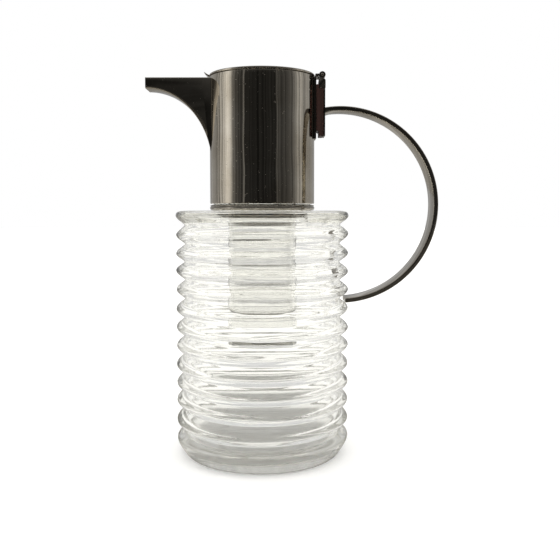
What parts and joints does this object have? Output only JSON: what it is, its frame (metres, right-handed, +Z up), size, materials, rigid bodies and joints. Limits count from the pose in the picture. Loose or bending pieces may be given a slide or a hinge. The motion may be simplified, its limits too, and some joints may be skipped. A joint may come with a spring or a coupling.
{
  "type": "lidded water pitcher",
  "caption": "Ribbed clear glass water pitcher with a silver collar, channel spout, hinged lid, round strap handle and a hanging glass ice tube.",
  "frame": {"origin": "centre of the flat glass base, on the glass axis", "axes": "+Z up along the glass axis, +X towards the hinge and handle, -X towards the spout"},
  "size_m": [0.197, 0.1184, 0.261],
  "materials": {
    "clear_glass": "clear, slightly wavy hand-finished glass",
    "silver": "polished silver plate with light tarnish and fine scuffs",
    "dark_silver": "tarnished silver plate",
    "dark_wood": "oiled dark reddish-brown hardwood",
    "cement": "matt setting cement"
  },
  "bodies": {
    "pitcher": {"glass_body": "clear_glass", "neck_cement": "cement", "collar": "silver", "collar_base_ring": "silver", "spout": "silver", "hinge_pin": "silver", "hinge_bracket": "dark_silver", "saddle_plate": "dark_silver", "handle_block": "dark_wood", "outer_plate": "dark_silver", "block_screw_1": "silver", "block_screw_2": "silver", "handle_strap": "silver", "tube_holder_ring": "silver"},
    "lid": {"lid_disc": "silver", "lid_bezel": "silver", "lid_lift_tab": "silver", "lid_hinge_leaf": "dark_silver"},
    "ice_tube": {"ice_tube": "clear_glass"}
  },
  "joints": [
    {"name": "lid_hinge", "type": "hinge", "parent": "pitcher", "child": "lid", "pos_m": [0.0406, 0, 0.2585], "axis": [0, 1, 0], "range_deg": [0, 105]},
    {"name": "ice_tube_lift", "type": "slide", "parent": "pitcher", "child": "ice_tube", "axis": [0, 0, 1], "range_m": [0, 0.06]}
  ]
}
